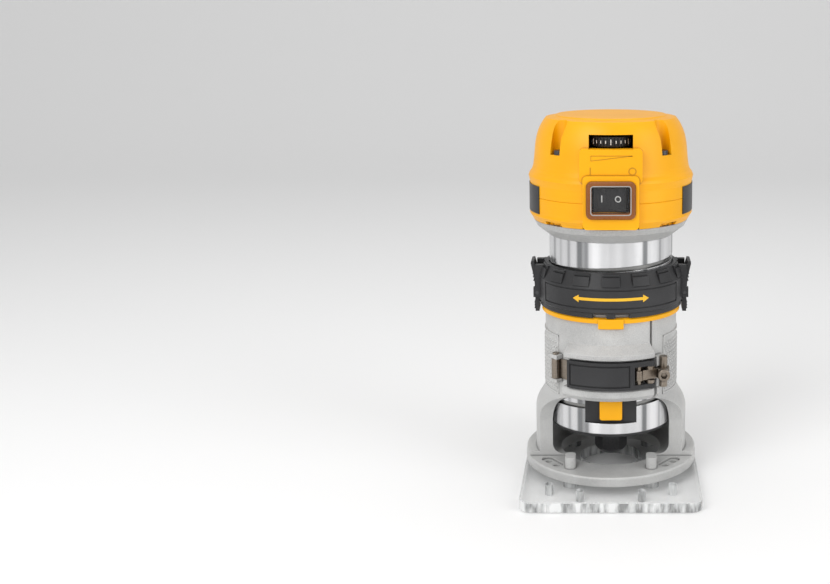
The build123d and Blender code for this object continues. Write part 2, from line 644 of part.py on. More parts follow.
with BuildPart() as bracket_screws:
    for a in (45, 135, 225, 315):
        x, y = polar(25.0, a)
        rod(x, y, 1.25, 120.5, 128.0)
        rod(x, y, 2.4, 128.05, 129.6)
        rod(x, y, 1.24, 127.9, 128.1)
save(bracket_screws.part, "bracket_screws")

with BuildPart() as brush_holders:
    for side in (-1, 1):
        block(-5.0, 5.0, side * 13.2, side * 30.6, 109.5, 121.95)
        block(-2.8, 2.8, side * 12, side * 29.0, 111.4, 118.8, Mode.SUBTRACT)
save(brush_holders.part, "brush_holders")

with BuildPart() as carbon_brushes:
    for side in (-1, 1):
        block(-2.7, 2.7, side * 11.6, side * 22.0, 111.5, 118.7)
    rod(0, 0, 11.5, 105, 125, Mode.SUBTRACT)
save(carbon_brushes.part, "carbon_brushes")

with BuildPart() as brush_springs:
    for side in (-1, 1):
        coil((0, side * 22.35, 115.1), (0, side, 0), 2.0, 0.28, 1.2, 6.2)
save(brush_springs.part, "brush_springs")

# ---------------------------------------------------------------- collet
COLLET_END = 11.6
with BuildPart() as collet:
    turned([(0, COLLET_END), (4.3, COLLET_END), (4.3, 13.4), (5.5, 14.6), (5.5, 15.6), (0, 15.6)])
    turned([(0, 15.5), (4.9, 15.5), (4.9, 16.6), (4.24, 26.0), (0, 26.0)])
    rod(0, 0, SHANK_R, 0, 30, Mode.SUBTRACT)
    for a in (0, 60, 120):
        with BuildSketch(Plane.XY.offset(COLLET_END + 2.5)):
            Rectangle(12, 0.5, rotation=a)
        extrude(amount=9.5, mode=Mode.SUBTRACT)
save(collet.part, "collet")

with BuildPart() as collet_nut:
    with BuildSketch(Plane.XY.offset(9.4)):
        RegularPolygon(NUT_FLATS / 2, 6, major_radius=False)
    extrude(amount=17.1)
    with BuildSketch(Plane.XZ):
        with BuildLine():
            Polyline((6.6, 8), (12, 8), (12, 28), (8.6, 28), (8.6, 26.5), (9.2, 25.6), (9.2, 12.3), (6.6, 9.4))
            Line((6.6, 9.4), (6.6, 8))
        make_face()
    revolve(axis=Axis.Z, mode=Mode.SUBTRACT)
    rod(0, 0, 4.4, 0, 40, Mode.SUBTRACT)
    turned([(4.0, 13.3), (4.44, 13.3), (5.6, 14.46), (6.02, 15.6), (6.02, 40), (4.0, 40)], mode=Mode.SUBTRACT)
save(collet_nut.part, "collet_nut")

# ================================================================ MOTOR CAP
BOSS_HALF = 16.5
BOSS_Y = -46.0
WELLS = (45, 135, 225, 315)
WELL_R = 38.4
PILLAR_R = 4.9
CORD_Z = 181.0
SWITCH_MID = 162.75

# hollow of the cap, with the screw pillars left standing in it
with BuildPart() as cap_hollow:
    turned(
        [
            (0, CAP_PART - 1),
            (44.9 - CAP_WALL, CAP_PART - 1),
            (44.9 - CAP_WALL, CAP_PART),
            (40.9, 172.0),
            (39.6, 184.0),
            (37.0, 195.0),
            (34.0, 199.4),
            (0, 200.6),
        ]
    )
    for a in WELLS:
        rod(*polar(WELL_R - 1.4, a), PILLAR_R, 140, 205, Mode.SUBTRACT)

with BuildPart() as motor_cap:
    with BuildSketch(Plane.XZ):
        with BuildLine():
            Polyline((0, CAP_PART), (0, 203.4), (30.2, 203.4), (31.0, 202.8), (36.0, 202.0))
            Spline((36.0, 202.0), (38.4, 198.6), (41.3, 191.0), (42.5, 181.0), (43.2, 175.5))
            Polyline((43.2, 175.5), (43.9, 173.4), (45.2, 171.6), (45.7, 170.2), (45.2, 168.0), (44.9, 166.4))
            Polyline((44.9, 166.4), (44.9, CAP_PART), (0, CAP_PART))
        make_face()
    revolve(axis=Axis.Z)
    # switch boss: an upper pad with the on and off marks, and a lower block round the rocker
    with BuildSketch(Plane.XZ.offset(28)):
        with Locations((0, (171 + 189) / 2)):
            RectangleRounded(2 * BOSS_HALF, 18, 2.2)
    extrude(amount=16.6)
    with BuildSketch(Plane.XZ.offset(28)):
        with Locations((0, 160.8)):
            RectangleRounded(29.6, 28.4, 2.4)
    extrude(amount=-BOSS_Y - 28)
    add(cap_hollow.part, mode=Mode.SUBTRACT)
    # hollow behind the boss, the rocker opening and its frame seat
    block(-12.4, 12.4, -42.4, -20, 149.2, 174.0, Mode.SUBTRACT)
    with BuildSketch(Plane.XZ.offset(44.6)):
        with Locations((0, 162.3)):
            RectangleRounded(26.0, 20.1, 3.1)
    extrude(amount=15, mode=Mode.SUBTRACT)
    block(-14.5, 14.5, -41.0, -20, 176, 186.8, Mode.SUBTRACT)
    block(-6.0, 6.0, -36.0, -20, 186, 189, Mode.SUBTRACT)
    block(-10.1, 10.1, -60, -20, 155.6, 169.9, Mode.SUBTRACT)
    # dial slot
    block(-11.6, 11.6, -60, -26.0, 188.7, 195.8, Mode.SUBTRACT)
    # screw wells, with pillars under them
    for a in WELLS:
        rod(*polar(WELL_R - 1.4, a), PILLAR_R, 146.4, CAP_PART)
        rod(*polar(WELL_R, a), 4.2, 184.0, 210.0, Mode.SUBTRACT)
        with BuildSketch(Plane.XY.offset(184.0)):
            with Locations(polar(WELL_R + 6.0, a)):
                Rectangle(12.0, 7.2, rotation=a - 90)
        extrude(amount=26.0, mode=Mode.SUBTRACT)
        rod(*polar(WELL_R, a), 1.6, 140.0, 190.0, Mode.SUBTRACT)
    rod(0, 0, 34.2, 140, 176, Mode.SUBTRACT)
    # cord entry at the back
    bar_y(0, CORD_Z, 9.0, 34, 45.0)
    bar_y(0, CORD_Z, 6.0, 28, 46.0, Mode.SUBTRACT)
save(motor_cap.part, "motor_cap")

with BuildPart() as cap_band:
    turned(
        [
            (34.7, 146.0),
            (SKIRT_R, 146.0),
            (45.2, 149.6),
            (44.9, 151.0),
            (44.9, CAP_PART - 0.5),
            (44.4, CAP_PART - 0.03),
            (42.3, CAP_PART - 0.03),
            (42.3, 148.6),
            (34.7, 148.6),
        ]
    )
    block(-14.85, 14.85, -60, -30, 140, 165, Mode.SUBTRACT)
    for a in WELLS:
        rod(*polar(WELL_R - 1.4, a), PILLAR_R + 0.1, 140, 165, Mode.SUBTRACT)
        ring_sector(41.4, 50, 145, 148.0, a - 8, a + 8, Mode.SUBTRACT)
save(cap_band.part, "cap_band")

with BuildPart() as cap_screws:
    for a in WELLS:
        x, y = polar(WELL_R, a)
        rod(x, y, 1.5, 158.0, 184.1)
        rod(x, y, 3.2, 184.05, 186.4)
        with BuildSketch(Plane.XY.offset(185.0)):
            with Locations((x, y)):
                Rectangle(3.6, 0.8)
                Rectangle(0.8, 3.6)
        extrude(amount=2, mode=Mode.SUBTRACT)
save(cap_screws.part, "cap_screws")

with BuildPart() as side_plates:
    for side in (-1, 1):
        turned([(44.93, 151.2), (45.35, 151.2), (45.35, 166.2), (44.93, 166.2)], side * 90 - 31, 62)
save(side_plates.part, "side_plates")

with BuildPart() as switch_frame:
    with BuildSketch(Plane.XZ.offset(44.65)):
        with Locations((0, 162.3)):
            RectangleRounded(25.8, 20.0, 3.0)
        with Locations((0, SWITCH_MID)):
            RectangleRounded(20.1, 14.3, 1.2, mode=Mode.SUBTRACT)
    extrude(amount=3.2)
    chamfer(switch_frame.faces().sort_by(Axis.Y)[0].outer_wire().edges(), 0.7)
save(switch_frame.part, "switch_frame")

ROCKER_Y = -40.5
ROCKER_TILT = radians(-8)  # at rest one side stands proud: switched off
with BuildPart() as switch_rocker:
    with BuildSketch(Plane(origin=(0, ROCKER_Y, 156.4), x_dir=(cos(ROCKER_TILT), sin(ROCKER_TILT), 0))):
        with BuildLine():
            Line((-8.4, -2.0), (-8.4, -4.9))
            ThreePointArc((-8.4, -4.9), (0, -3.2), (8.4, -4.9))
            Polyline((8.4, -4.9), (8.4, -2.0), (3.0, 2.1), (-3.0, 2.1), (-8.4, -2.0))
        make_face()
    extrude(amount=12.7)
    rod(0, ROCKER_Y, 1.03, 150, 175, Mode.SUBTRACT)
save(switch_rocker.part, "switch_rocker")

with BuildPart() as switch_body:
    block(-9.9, 9.9, -37.0, -22.0, 155.7, 169.8)
    for low, high in ((155.7, 156.2), (169.3, 169.8)):
        block(-9.9, 9.9, -42.3, -36.9, low, high)
    rod(0, ROCKER_Y, 0.98, 155.8, 169.7)
    for x in (-6, 0, 6):
        block(x - 0.4, x + 0.4, -22.1, -15, 159.0, 165.0)
save(switch_body.part, "switch_body")

with BuildPart() as switch_boot:
    with BuildSketch(Plane.XZ.offset(47.0)):
        with Locations((0, SWITCH_MID)):
            RectangleRounded(19.9, 14.1, 1.1)
    extrude(amount=0.5)
save(switch_boot.part, "switch_boot")

DIAL_Y, DIAL_R = -29.6, 10.6
with BuildPart() as speed_dial:
    rod(0, DIAL_Y, DIAL_R, 189.4, 194.6)
    chamfer(speed_dial.edges().filter_by(GeomType.CIRCLE), 0.5)
    with BuildSketch(Plane.XY.offset(189.0)):
        with Locations((0, DIAL_Y)):
            with PolarLocations(DIAL_R, 36):
                Rectangle(0.9, 0.8)
    extrude(amount=6.0, mode=Mode.SUBTRACT)
    rod(0, DIAL_Y, 1.55, 185, 200, Mode.SUBTRACT)
save(speed_dial.part, "speed_dial")

with BuildPart() as speed_module:
    block(-11.0, 11.0, -26.0, 12.0, 178.0, 184.0)
    rod(0, DIAL_Y, 5.0, 186.0, 188.6)
    block(-5.0, 5.0, DIAL_Y, -24.0, 183.0, 188.6)
    rod(0, DIAL_Y, 1.5, 188.5, 194.0)
    for x, y in ((-6, -4), (5, -2), (-4, 6)):
        rod(x, y, 2.6, 183.9, 191.0)
save(speed_module.part, "speed_module")

with BuildPart() as cord_guard:
    bar_y(0, CORD_Z, 7.6, 31.0, 33.6)
    bar_y(0, CORD_Z, 5.95, 33.5, 46.2)
    with BuildSketch(Plane.XZ.offset(-46.1)):
        with Locations((0, CORD_Z)):
            Circle(6.6)
    extrude(amount=-26, taper=3.5)
    for step in range(6):
        with BuildSketch(Plane.XZ.offset(-50.0 - 3.6 * step)):
            with Locations((0, CORD_Z)):
                Rectangle(16, 16)
                Circle(4.6, mode=Mode.SUBTRACT)
        extrude(amount=-1.3, mode=Mode.SUBTRACT)
    bar_y(0, CORD_Z, 3.65, 20, 90, Mode.SUBTRACT)
save(cord_guard.part, "cord_guard")

with BuildPart() as cord:
    with BuildLine() as run_line:
        Line((0, 14, CORD_Z), (0, 74, CORD_Z))
        Spline((0, 74, CORD_Z), (0, 92, CORD_Z - 5), (0, 104, CORD_Z - 19), tangents=[(0, 1, 0), (0, 0.35, -1)])
    with BuildSketch(Plane(run_line.line @ 0, z_dir=run_line.line % 0)):
        Circle(3.6)
    sweep()
save(cord.part, "cord")
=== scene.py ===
"""Looks of the trim router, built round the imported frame. Everything is in metres, +Z up, front facing -Y."""

from math import cos, pi, radians, sin, sqrt

import bmesh
import bpy
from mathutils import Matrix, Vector


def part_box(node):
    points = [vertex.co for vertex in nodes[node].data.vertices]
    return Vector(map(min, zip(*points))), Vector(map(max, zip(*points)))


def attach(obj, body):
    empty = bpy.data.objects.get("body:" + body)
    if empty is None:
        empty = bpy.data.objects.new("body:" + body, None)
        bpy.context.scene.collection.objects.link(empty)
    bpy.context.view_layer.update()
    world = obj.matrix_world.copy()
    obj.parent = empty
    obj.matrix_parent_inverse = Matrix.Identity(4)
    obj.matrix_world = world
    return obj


MM = 0.001
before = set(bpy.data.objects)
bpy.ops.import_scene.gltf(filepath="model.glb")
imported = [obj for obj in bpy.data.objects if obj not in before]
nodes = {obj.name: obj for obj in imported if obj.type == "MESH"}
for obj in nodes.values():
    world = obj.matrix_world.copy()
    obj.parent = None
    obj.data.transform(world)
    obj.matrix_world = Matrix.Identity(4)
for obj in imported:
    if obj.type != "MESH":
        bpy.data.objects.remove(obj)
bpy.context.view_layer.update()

ALONG_Z = (1, 1, 0.04)  # stretches a grain along the spindle axis
ROUND_Z = (0.04, 0.04, 1)  # and round it


# ---------------------------------------------------------------- material building
class Nodes:
    """A material's node tree with short calls for the nodes used here."""

    def __init__(self, name):
        self.material = bpy.data.materials.new(name)
        self.material.use_nodes = True
        self.tree = self.material.node_tree
        self.shader = self.tree.nodes["Principled BSDF"]
        self.place = self.tree.nodes.new("ShaderNodeTexCoord").outputs["Object"]

    def add(self, kind, **values):
        node = self.tree.nodes.new(kind)
        for key, value in values.items():
            setattr(node, key, value)
        return node

    def link(self, output, target):
        self.tree.links.new(output, target)

    def stretched(self, scale):
        """Object coordinates stretched by a scale on each axis."""
        mapping = self.add("ShaderNodeMapping")
        mapping.inputs["Scale"].default_value = scale
        self.link(self.place, mapping.inputs["Vector"])
        return mapping.outputs["Vector"]

    def noise(self, size, detail=3.0, place=None):
        """Noise whose features are about this many metres across."""
        node = self.add("ShaderNodeTexNoise")
        node.inputs["Scale"].default_value = 1.0 / size
        node.inputs["Detail"].default_value = detail
        self.link(place or self.place, node.inputs["Vector"])
        return node.outputs["Fac"]

    def ramp(self, value, *stops):
        """Colour ramp; stops are (position, colour)."""
        node = self.add("ShaderNodeValToRGB")
        while len(node.color_ramp.elements) < len(stops):
            node.color_ramp.elements.new(0.5)
        for element, (position, colour) in zip(node.color_ramp.elements, stops):
            element.position = position
            element.color = (*colour, 1)
        self.link(value, node.inputs["Fac"])
        return node.outputs["Color"]

    def spread(self, value, low, high):
        """Maps the middle of a noise's range onto low to high."""
        node = self.add("ShaderNodeMapRange")
        node.inputs["From Min"].default_value = 0.3
        node.inputs["From Max"].default_value = 0.7
        node.inputs["To Min"].default_value = low
        node.inputs["To Max"].default_value = high
        self.link(value, node.inputs["Value"])
        return node.outputs["Result"]

    def worn_edges(self, colour, edge_colour, amount, size=0.0004):
        """Lightens convex edges, where handling has rubbed the surface."""
        bevel = self.add("ShaderNodeBevel", samples=4)
        bevel.inputs["Radius"].default_value = size
        geometry = self.add("ShaderNodeNewGeometry")
        turn = self.add("ShaderNodeVectorMath", operation="DOT_PRODUCT")
        self.link(bevel.outputs["Normal"], turn.inputs[0])
        self.link(geometry.outputs["Normal"], turn.inputs[1])
        edge = self.add("ShaderNodeMapRange")
        edge.inputs["From Min"].default_value = 0.999
        edge.inputs["From Max"].default_value = 0.93
        edge.inputs["To Max"].default_value = amount
        self.link(turn.outputs["Value"], edge.inputs["Value"])
        mix = self.add("ShaderNodeMix", data_type="RGBA")
        mix.inputs["B"].default_value = (*edge_colour, 1)
        self.link(edge.outputs["Result"], mix.inputs["Factor"])
        self.link(colour, mix.inputs["A"])
        return mix.outputs["Result"]

    def painted_crease_shade(self, colour, shade, reach=0.0016):
        """Painted shade: darkens inside corners, where shadow falls."""
        hollow = self.add("ShaderNodeAmbientOcclusion", samples=8, only_local=True)
        hollow.inputs["Distance"].default_value = reach
        mix = self.add("ShaderNodeMix", data_type="RGBA")
        mix.inputs["A"].default_value = (*shade, 1)
        lift = self.add("ShaderNodeMapRange")
        lift.inputs["From Min"].default_value = 0.45
        lift.inputs["From Max"].default_value = 0.85
        self.link(hollow.outputs["AO"], lift.inputs["Value"])
        self.link(lift.outputs["Result"], mix.inputs["Factor"])
        self.link(colour, mix.inputs["B"])
        return mix.outputs["Result"]

    def relief(self, height, depth, radius=0.0003):
        """Bump of a depth in metres over softly rounded edges."""
        bevel = self.add("ShaderNodeBevel", samples=4)
        bevel.inputs["Radius"].default_value = radius
        bump = self.add("ShaderNodeBump")
        bump.inputs["Distance"].default_value = depth
        self.link(height, bump.inputs["Height"])
        self.link(bevel.outputs["Normal"], bump.inputs["Normal"])
        self.link(bump.outputs["Normal"], self.shader.inputs["Normal"])


def plastic(name, dark, light, roughness=(0.35, 0.5), grain=0.0007, depth=0.00003, crease_shade=0.35, coat=0.0):
    """Moulded plastic: fine spark-eroded grain, slight colour drift, rubbed edges, and painted shade in inside
    corners.
    """
    m = Nodes(name)
    drift = m.noise(0.03, 2)
    colour = m.ramp(drift, (0.3, dark), (0.7, light))
    colour = m.worn_edges(colour, [min(1, c * 1.25 + 0.012) for c in light], 0.6)
    m.link(m.painted_crease_shade(colour, [c * crease_shade for c in dark]), m.shader.inputs["Base Color"])
    fine = m.noise(grain, 4)
    m.link(m.spread(fine, *roughness), m.shader.inputs["Roughness"])
    m.shader.inputs["Specular IOR Level"].default_value = 0.32
    m.shader.inputs["Coat Weight"].default_value = coat
    m.shader.inputs["Coat Roughness"].default_value = 0.2
    m.relief(fine, depth)
    return m.material


def metal(
    name, dark, light, roughness=(0.25, 0.4), stretch=(1, 1, 1), grain=0.0006, depth=0.00001, metallic=1.0
):
    """Bare metal whose grain is stretched along the way it was worked."""
    m = Nodes(name)
    place = m.stretched(stretch)
    grain_value = m.noise(grain, 4, place)
    patches = m.noise(0.02, 3)
    mixed = m.add("ShaderNodeMath", operation="MULTIPLY_ADD")
    mixed.inputs[1].default_value = 0.5
    m.link(grain_value, mixed.inputs[0])
    half = m.add("ShaderNodeMath", operation="MULTIPLY")
    half.inputs[1].default_value = 0.5
    m.link(patches, half.inputs[0])
    m.link(half.outputs["Value"], mixed.inputs[2])
    colour = m.ramp(mixed.outputs["Value"], (0.35, dark), (0.65, light))
    colour = m.worn_edges(colour, [min(1, c * 1.15 + 0.02) for c in light], 0.5)
    # Painted shade in inside corners, at four tenths of the dark colour.
    m.link(m.painted_crease_shade(colour, [c * 0.4 for c in dark]), m.shader.inputs["Base Color"])
    m.shader.inputs["Metallic"].default_value = metallic
    m.link(m.spread(grain_value, *roughness), m.shader.inputs["Roughness"])
    m.relief(grain_value, depth)
    return m.material


def clear(name, tint, strength, roughness=0.06):
    """Clear moulding: see-through face on, pale at glancing angles, with faint rubbing marks."""
    m = Nodes(name)
    haze = m.noise(0.012, 5)
    m.link(m.ramp(haze, (0.3, [c * 0.97 for c in tint]), (0.7, tint)), m.shader.inputs["Base Color"])
    m.link(m.spread(haze, roughness * 0.6, roughness * 1.6), m.shader.inputs["Roughness"])
    glancing = m.add("ShaderNodeLayerWeight")
    glancing.inputs["Blend"].default_value = 0.35
    body = m.add("ShaderNodeMapRange")
    body.inputs["To Min"].default_value = strength
    body.inputs["To Max"].default_value = min(1.0, strength + 0.55)
    m.link(glancing.outputs["Facing"], body.inputs["Value"])
    m.link(body.outputs["Result"], m.shader.inputs["Alpha"])
    m.relief(m.noise(0.004, 2), 0.000004, 0.0004)
    return m.material


def sheet(name):
    """Clear sheet: nearly unseen through its faces, with painted reflections streaked light and dark along its
    cut edges.
    """
    m = Nodes(name)
    geometry = m.add("ShaderNodeNewGeometry")
    facing = m.add("ShaderNodeSeparateXYZ")
    m.link(geometry.outputs["True Normal"], facing.inputs["Vector"])
    level = m.add("ShaderNodeMath", operation="ABSOLUTE")
    m.link(facing.outputs["Z"], level.inputs[0])
    # Painted reflections: light and dark streaks on the upright cut edges.
    painted_edge_reflections = m.ramp(
        m.noise(0.0035, 4, m.stretched((1, 1, 0.25))),
        (0.36, (0.16, 0.165, 0.165)),
        (0.48, (0.5, 0.51, 0.51)),
        (0.62, (0.86, 0.87, 0.87)),
    )
    face = m.ramp(m.noise(0.012, 5), (0.3, (0.74, 0.755, 0.75)), (0.7, (0.82, 0.83, 0.83)))
    mix = m.add("ShaderNodeMix", data_type="RGBA")
    m.link(level.outputs["Value"], mix.inputs["Factor"])
    m.link(painted_edge_reflections, mix.inputs["A"])
    m.link(face, mix.inputs["B"])
    m.link(mix.outputs["Result"], m.shader.inputs["Base Color"])
    seen = m.add("ShaderNodeMapRange")
    seen.inputs["To Min"].default_value = 0.72
    seen.inputs["To Max"].default_value = 0.2
    m.link(level.outputs["Value"], seen.inputs["Value"])
    m.link(seen.outputs["Result"], m.shader.inputs["Alpha"])
    m.link(m.spread(m.noise(0.01), 0.05, 0.12), m.shader.inputs["Roughness"])
    m.relief(m.noise(0.004, 2), 0.000004, 0.0004)
    return m.material


SKIRT_Z = 137.3 * MM  # the turned barrel ends and its cast skirt begins
GROOVE_FLOOR_R, BARREL_R = 34.1 * MM, 34.4 * MM  # below the first radius the surface is in the spiral groove


def barrel(name):
    """Machined barrel with painted reflections in upright bands, painted shade on the floor of its spiral
    groove, and the cast skirt above.
    """
    m = Nodes(name)
    turned = m.noise(0.0003, 4, m.stretched(ROUND_Z))
    axis = m.add("ShaderNodeSeparateXYZ")
    m.link(m.place, axis.inputs["Vector"])
    angle = m.add("ShaderNodeMath", operation="ARCTAN2")
    m.link(axis.outputs["X"], angle.inputs[0])
    m.link(axis.outputs["Y"], angle.inputs[1])
    # Painted reflections: upright bands of light and dark, set by the angle round the axis.
    bands = m.add("ShaderNodeTexNoise", noise_dimensions="1D")
    bands.inputs["Scale"].default_value = 3.2
    bands.inputs["Detail"].default_value = 1.0
    m.link(angle.outputs["Value"], bands.inputs["W"])
    painted_reflections = m.ramp(
        bands.outputs["Fac"],
        (0.38, (0.2, 0.205, 0.21)),
        (0.46, (0.62, 0.62, 0.63)),
        (0.68, (0.8, 0.8, 0.81)),
    )
    cast = m.ramp(m.noise(0.0006, 4), (0.35, (0.36, 0.36, 0.355)), (0.65, (0.5, 0.5, 0.49)))
    skirt = m.add("ShaderNodeMath", operation="GREATER_THAN")
    skirt.inputs[1].default_value = SKIRT_Z
    m.link(axis.outputs["Z"], skirt.inputs[0])
    mix = m.add("ShaderNodeMix", data_type="RGBA")
    m.link(skirt.outputs["Value"], mix.inputs["Factor"])
    m.link(painted_reflections, mix.inputs["A"])
    m.link(cast, mix.inputs["B"])
    from_axis = m.add("ShaderNodeVectorMath", operation="LENGTH")
    m.link(m.stretched((1, 1, 0)), from_axis.inputs[0])
    groove_shade_mask = m.add("ShaderNodeMapRange")
    groove_shade_mask.inputs["From Min"].default_value = GROOVE_FLOOR_R
    groove_shade_mask.inputs["From Max"].default_value = BARREL_R
    m.link(from_axis.outputs["Value"], groove_shade_mask.inputs["Value"])
    # Painted shade: the floor of the spiral groove is painted a darker grey.
    groove = m.add("ShaderNodeMix", data_type="RGBA")
    groove.inputs["A"].default_value = (0.24, 0.24, 0.235, 1)
    m.link(groove_shade_mask.outputs["Result"], groove.inputs["Factor"])
    m.link(mix.outputs["Result"], groove.inputs["B"])
    # Painted shade in inside corners over the whole barrel.
    m.link(m.painted_crease_shade(groove.outputs["Result"], (0.1, 0.1, 0.1)), m.shader.inputs["Base Color"])
    for low, high, socket in ((0.22, 0.55, "Roughness"), (0.85, 0.15, "Metallic")):
        change = m.add("ShaderNodeMapRange")
        change.inputs["To Min"].default_value = low
        change.inputs["To Max"].default_value = high
        m.link(skirt.outputs["Value"], change.inputs["Value"])
        m.link(change.outputs["Result"], m.shader.inputs[socket])
    m.relief(turned, 0.000004)
    return m.material


def laminated(name):
    """Stacked steel sheets, seen as fine lines across the spindle axis."""
    m = Nodes(name)
    wave = m.add("ShaderNodeTexWave", bands_direction="Z")
    wave.inputs["Scale"].default_value = 600
    m.link(m.place, wave.inputs["Vector"])
    lines = m.ramp(wave.outputs["Fac"], (0.2, (0.12, 0.11, 0.1)), (0.8, (0.4, 0.39, 0.37)))
    m.link(lines, m.shader.inputs["Base Color"])
    m.shader.inputs["Metallic"].default_value = 0.9
    m.link(m.spread(m.noise(0.002), 0.35, 0.55), m.shader.inputs["Roughness"])
    m.relief(wave.outputs["Fac"], 0.00002)
    return m.material


def wound(name):
    """Enamelled copper wire, seen as fine cords."""
    m = Nodes(name)
    wave = m.add("ShaderNodeTexWave", bands_direction="DIAGONAL")
    wave.inputs["Scale"].default_value = 450
    wave.inputs["Distortion"].default_value = 1.5
    m.link(m.place, wave.inputs["Vector"])
    cords = m.ramp(wave.outputs["Fac"], (0.1, (0.22, 0.06, 0.02)), (0.8, (0.62, 0.25, 0.1)))
    m.link(cords, m.shader.inputs["Base Color"])
    m.shader.inputs["Metallic"].default_value = 0.6
    m.link(m.spread(m.noise(0.002), 0.25, 0.4), m.shader.inputs["Roughness"])
    m.relief(wave.outputs["Fac"], 0.00015)
    return m.material


# The seventh value given to plastic() sets the painted shade in inside corners, as a share of the dark colour.
finishes = {
    "casting": metal(
        "cast_grey", (0.4, 0.4, 0.395), (0.57, 0.57, 0.56), (0.4, 0.58), depth=0.0001, metallic=0.15
    ),
    "barrel": barrel("machined_barrel"),
    "clear": sheet("clear_sheet"),
    "clear_thin": clear("clear_boot_film", (0.3, 0.3, 0.3), 0.04, 0.1),
    "lens": clear("clear_lens", (0.93, 0.93, 0.9), 0.6, 0.15),
    "yellow": plastic(
        "yellow_cap", (0.84, 0.375, 0.0), (0.9, 0.415, 0.0), (0.34, 0.46), 0.0006, 0.00002, 0.45
    ),
    "yellow_ring": plastic(
        "yellow_ring", (0.84, 0.375, 0.0), (0.9, 0.42, 0.0), (0.35, 0.5), 0.0006, 0.00002, 0.45
    ),
    "dark": plastic(
        "dark_grey_moulding", (0.02, 0.02, 0.021), (0.036, 0.036, 0.038), (0.38, 0.52), 0.0006, 0.00005, 0.2
    ),
    "black": plastic(
        "black_moulding", (0.010, 0.010, 0.011), (0.02, 0.02, 0.021), (0.35, 0.5), 0.0006, 0.00003
    ),
    "plate": plastic(
        "side_plate_film", (0.018, 0.018, 0.02), (0.03, 0.03, 0.032), (0.3, 0.42), 0.0004, 0.00001
    ),
    "amber": plastic(
        "amber_moulding", (0.17, 0.05, 0.006), (0.26, 0.08, 0.01), (0.2, 0.32), 0.0006, 0.00001, coat=0.4
    ),
    "rubber": plastic(
        "cord_rubber", (0.012, 0.012, 0.013), (0.022, 0.022, 0.023), (0.55, 0.75), 0.0009, 0.00006
    ),
    "steel": metal("plated_steel", (0.5, 0.49, 0.47), (0.66, 0.65, 0.63), (0.22, 0.36), grain=0.0005),
    "strap": metal(
        "brown_strip_steel", (0.2, 0.165, 0.13), (0.31, 0.27, 0.23), (0.28, 0.42), (0.1, 0.1, 1), 0.0004
    ),
    "black_steel": metal(
        "black_oxide", (0.045, 0.045, 0.047), (0.085, 0.085, 0.088), (0.25, 0.4), grain=0.0008, metallic=0.5
    ),
    "turned_steel": metal(
        "turned_steel", (0.45, 0.45, 0.45), (0.7, 0.7, 0.7), (0.18, 0.3), ROUND_Z, 0.0003
    ),
    "laminated": laminated("laminated_core"),
    "copper": wound("copper_winding"),
    "commutator": metal("commutator_copper", (0.45, 0.2, 0.09), (0.7, 0.36, 0.2), (0.25, 0.4), ALONG_Z),
    "carbon": plastic(
        "pressed_carbon", (0.02, 0.02, 0.02), (0.04, 0.04, 0.04), (0.5, 0.7), 0.0005, 0.00008
    ),
    "mark_white": plastic(
        "white_print", (0.62, 0.62, 0.6), (0.74, 0.74, 0.72), (0.4, 0.55), 0.0005, 0.00001
    ),
    "mark_yellow": plastic(
        "yellow_print", (0.8, 0.42, 0.02), (0.88, 0.5, 0.03), (0.4, 0.55), 0.0005, 0.00001
    ),
    "mark_amber": plastic(
        "embossed_yellow", (0.5, 0.22, 0.003), (0.56, 0.26, 0.004), (0.35, 0.5), 0.0006, 0.00001
    ),
    "mark_grey": plastic("grey_print", (0.3, 0.3, 0.29), (0.38, 0.38, 0.37), (0.4, 0.55), 0.0005, 0.00001),
}

node_finish = {
    "base_casting": "casting",
    "sub_base": "clear",
    "base_screws": "steel",
    "guide_key": "steel",
    "clamp_strap": "strap",
    "strap_pin": "strap",
    "clamp_lever": "dark",
    "lever_pins": "strap",
    "link_pin": "strap",
    "clamp_link": "strap",
    "link_barrel": "strap",
    "tension_screw": "strap",
    "zero_ring": "yellow_ring",
    "depth_ring": "dark",
    "ring_thread_pins": "steel",
    "tab_pins": "black_steel",
    "tab_springs": "steel",
    "left_release_tab": "dark",
    "right_release_tab": "dark",
    "motor_case": "barrel",
    "nose_plate": "dark",
    "nose_screws": "steel",
    "led_lenses": "lens",
    "lock_housing": "dark",
    "lock_button": "yellow_ring",
    "lock_pin": "steel",
    "lock_spring": "steel",
    "lock_collar": "black_steel",
    "spindle": "turned_steel",
    "lower_bearing_outer_race": "turned_steel",
    "lower_bearing_inner_race": "turned_steel",
    "lower_bearing_balls": "steel",
    "upper_bearing_outer_race": "turned_steel",
    "upper_bearing_inner_race": "turned_steel",
    "upper_bearing_balls": "steel",
    "armature_core": "laminated",
    "armature_windings": "copper",
    "commutator": "commutator",
    "fan": "black",
    "stator_core": "laminated",
    "stator_windings": "copper",
    "upper_bracket": "black",
    "bracket_screws": "steel",
    "brush_holders": "black",
    "carbon_brushes": "carbon",
    "brush_springs": "steel",
    "collet": "steel",
    "collet_nut": "black_steel",
    "motor_cap": "yellow",
    "cap_band": "yellow",
    "cap_screws": "black_steel",
    "side_plates": "plate",
    "switch_frame": "amber",
    "switch_rocker": "black",
    "switch_body": "black",
    "switch_boot": "clear_thin",
    "speed_dial": "black",
    "speed_module": "black",
    "cord_guard": "rubber",
    "cord": "rubber",
}
for name, node in nodes.items():
    node.data.materials.clear()
    node.data.materials.append(finishes[node_finish[name]])
    node.data.shade_smooth()
    node.data.set_sharp_from_angle(angle=radians(28))


# ---------------------------------------------------------------- pieces in mesh code
def polar(radius, from_front, height):
    """Point at a radius and an angle from the front, growing towards +X."""
    a = radians(from_front)
    return Vector((radius * sin(a), -radius * cos(a), height))


def inwards(depth):
    """For a prism on a cylinder: moves a point towards the spindle axis."""
    return lambda p: -Vector((p.x, p.y, 0)).normalized() * depth


